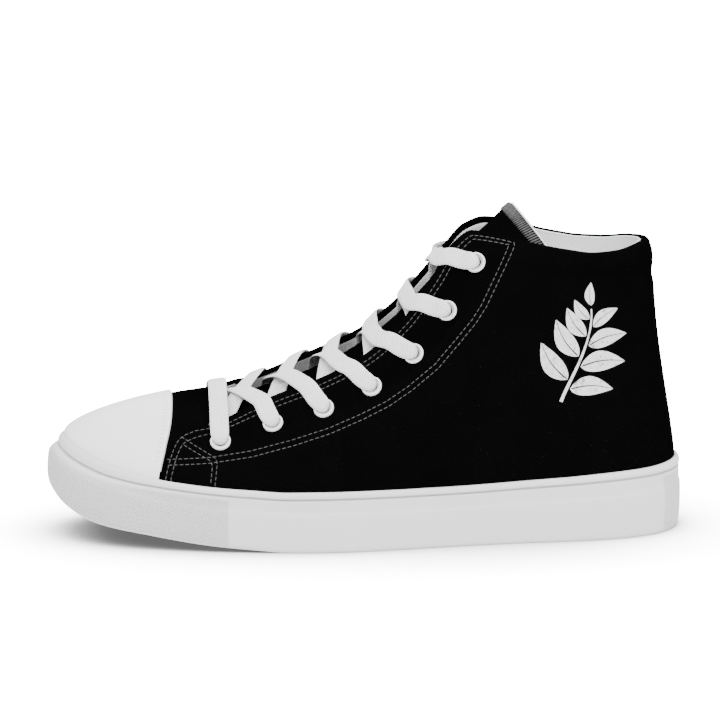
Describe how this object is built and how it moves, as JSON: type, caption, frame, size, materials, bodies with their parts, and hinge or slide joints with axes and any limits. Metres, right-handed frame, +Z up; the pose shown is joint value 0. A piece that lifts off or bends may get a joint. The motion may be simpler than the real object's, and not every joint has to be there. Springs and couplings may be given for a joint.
{
  "type": "high top sneaker",
  "caption": "Canvas high top sneaker with a rubber cup sole, smooth toe cap, padded collar and tongue, metal eyelets and a flat lace.",
  "frame": {"origin": "on the floor, under the middle of the sole's length and width", "axes": "+X towards the heel, +Y towards the medial side, +Z up"},
  "size_m": [0.2948, 0.1052, 0.1513],
  "materials": {
    "rubber": "matt moulded",
    "footbed": "woven lining over foam",
    "canvas": "twill canvas",
    "coated": "smooth coated",
    "enamel": "gloss enamel",
    "lace": "flat weave"
  },
  "bodies": {
    "root": {"sole": "rubber", "insole": "footbed", "upper": "canvas", "toe_cap": "coated", "tongue": "canvas", "eyelet_lateral_1": "enamel", "eyelet_lateral_2": "enamel", "eyelet_lateral_3": "enamel", "eyelet_lateral_4": "enamel", "eyelet_lateral_5": "enamel", "eyelet_lateral_6": "enamel", "eyelet_lateral_7": "enamel", "eyelet_medial_1": "enamel", "eyelet_medial_2": "enamel", "eyelet_medial_3": "enamel", "eyelet_medial_4": "enamel", "eyelet_medial_5": "enamel", "eyelet_medial_6": "enamel", "eyelet_medial_7": "enamel", "lace_bar": "lace", "lace_crossing_1": "lace", "lace_crossing_2": "lace", "lace_crossing_3": "lace", "lace_crossing_4": "lace", "lace_crossing_5": "lace", "lace_crossing_6": "lace"}
  },
  "joints": []
}
